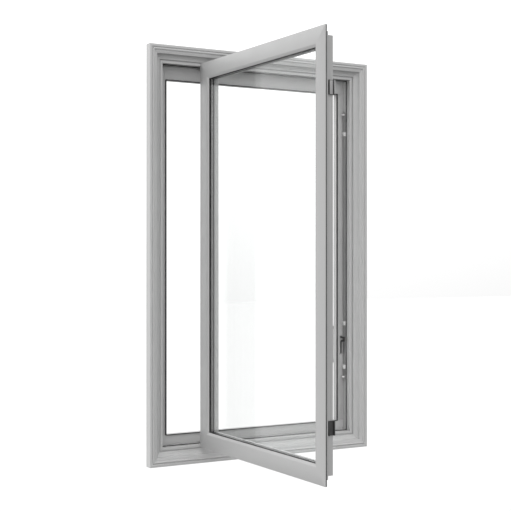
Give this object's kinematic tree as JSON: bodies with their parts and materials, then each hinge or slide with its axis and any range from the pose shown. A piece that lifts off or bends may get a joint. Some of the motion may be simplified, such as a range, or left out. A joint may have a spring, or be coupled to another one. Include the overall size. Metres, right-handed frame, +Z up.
{
  "type": "casement window",
  "caption": "Side-hung casement window with a moulded outer casing, a box frame, a double-glazed sash on two-arm stays and a tie-bar lock, standing open.",
  "frame": {"origin": "middle of the underside of the frame sill, half-way through the frame's depth", "axes": "+X from the hinge side to the lock side, +Y from outdoors to indoors, +Z up"},
  "size_m": [0.838, 0.9403, 1.35],
  "materials": {
    "casing_paint": "satin light grey paint on a moulded composite",
    "frame_paint": "satin light grey paint on a composite profile",
    "sash_paint": "satin light grey paint on a composite profile",
    "black_rubber": "matte black weather seal",
    "glass": "clear sealed unit",
    "spacer": "dull dark spacer bar",
    "block": "matte setting block",
    "key_metal": "mill finish",
    "stay_steel": "brushed stainless",
    "lock_steel": "zinc plated",
    "pale_plastic": "smooth off-white",
    "black_plastic": "moulded black",
    "keeper_black": "black e-coat",
    "lever_paint": "satin light grey paint"
  },
  "bodies": {
    "frame": {"casing_left": "casing_paint", "casing_right": "casing_paint", "casing_head": "casing_paint", "casing_sill": "casing_paint", "jamb_hinge": "frame_paint", "jamb_lock": "frame_paint", "frame_head": "frame_paint", "frame_sill": "frame_paint", "frame_corner_keys": "key_metal", "stop_hinge": "frame_paint", "stop_lock": "frame_paint", "stop_head": "frame_paint", "stop_sill": "frame_paint", "frame_gasket": "black_rubber", "stop_gasket": "black_rubber", "stay_base_upper": "stay_steel", "stay_base_lower": "stay_steel", "stay_base_screws": "stay_steel", "tie_bar_guides": "pale_plastic", "lock_case": "lock_steel", "lock_cover": "lever_paint", "lock_spindle": "lock_steel", "lock_cover_screws": "lock_steel"},
    "short_arms": {"short_arm_upper": "stay_steel", "short_arm_lower": "stay_steel"},
    "sash": {"sash_stile_hinge": "sash_paint", "sash_stile_lock": "sash_paint", "sash_rail_top": "sash_paint", "sash_rail_bottom": "sash_paint", "sash_corner_keys": "key_metal", "sash_edge_gasket": "black_rubber", "glass_outer": "glass", "glass_inner": "glass", "glass_spacer": "spacer", "glazing_gasket_outer": "black_rubber", "glazing_gasket_inner": "black_rubber", "bead_hinge": "sash_paint", "bead_lock": "sash_paint", "bead_top": "sash_paint", "bead_bottom": "sash_paint", "setting_blocks": "block", "sash_plate_upper": "stay_steel", "sash_plate_lower": "stay_steel", "sash_plate_screws": "stay_steel", "keeper_upper": "keeper_black", "keeper_lower": "keeper_black", "keeper_screws": "keeper_black"},
    "long_arms": {"long_arm_upper": "stay_steel", "long_arm_lower": "stay_steel"},
    "lock_bar": {"tie_bar": "lock_steel", "lock_roller_upper": "pale_plastic", "lock_roller_lower": "pale_plastic", "drive_fork": "black_plastic"},
    "lock_lever": {"lock_lever": "lever_paint"}
  },
  "joints": [
    {"name": "short_arm_swing", "type": "hinge", "parent": "frame", "child": "short_arms", "pos_m": [-0.20357, -0.0165, 0], "axis": [0, 0, -1], "range_deg": [0, 79.8]},
    {"name": "sash_swing", "type": "hinge", "parent": "short_arms", "child": "sash", "pos_m": [-0.21057, -0.12033, 0], "axis": [0, 0, 1], "range_deg": [0, 169.41]},
    {"name": "long_arm_swing", "type": "hinge", "parent": "frame", "child": "long_arms", "pos_m": [-0.14039, -0.016, 0], "axis": [0, 0, -1], "range_deg": [0, 60.3]},
    {"name": "lever_turn", "type": "hinge", "parent": "frame", "child": "lock_lever", "pos_m": [0.353, 0.0265, 0.317], "axis": [1, 0, 0], "range_deg": [0, 70]},
    {"name": "lock_bar_slide", "type": "slide", "parent": "frame", "child": "lock_bar", "axis": [0, 0, -1], "range_m": [0, 0.04001]}
  ],
  "couplings": [
    {"joint": "sash_swing", "follows": "short_arm_swing", "ratio": 2.1228},
    {"joint": "long_arm_swing", "follows": "short_arm_swing", "ratio": 0.75548},
    {"joint": "lock_bar_slide", "follows": "lever_turn", "m_per_rad": 0.03274}
  ]
}
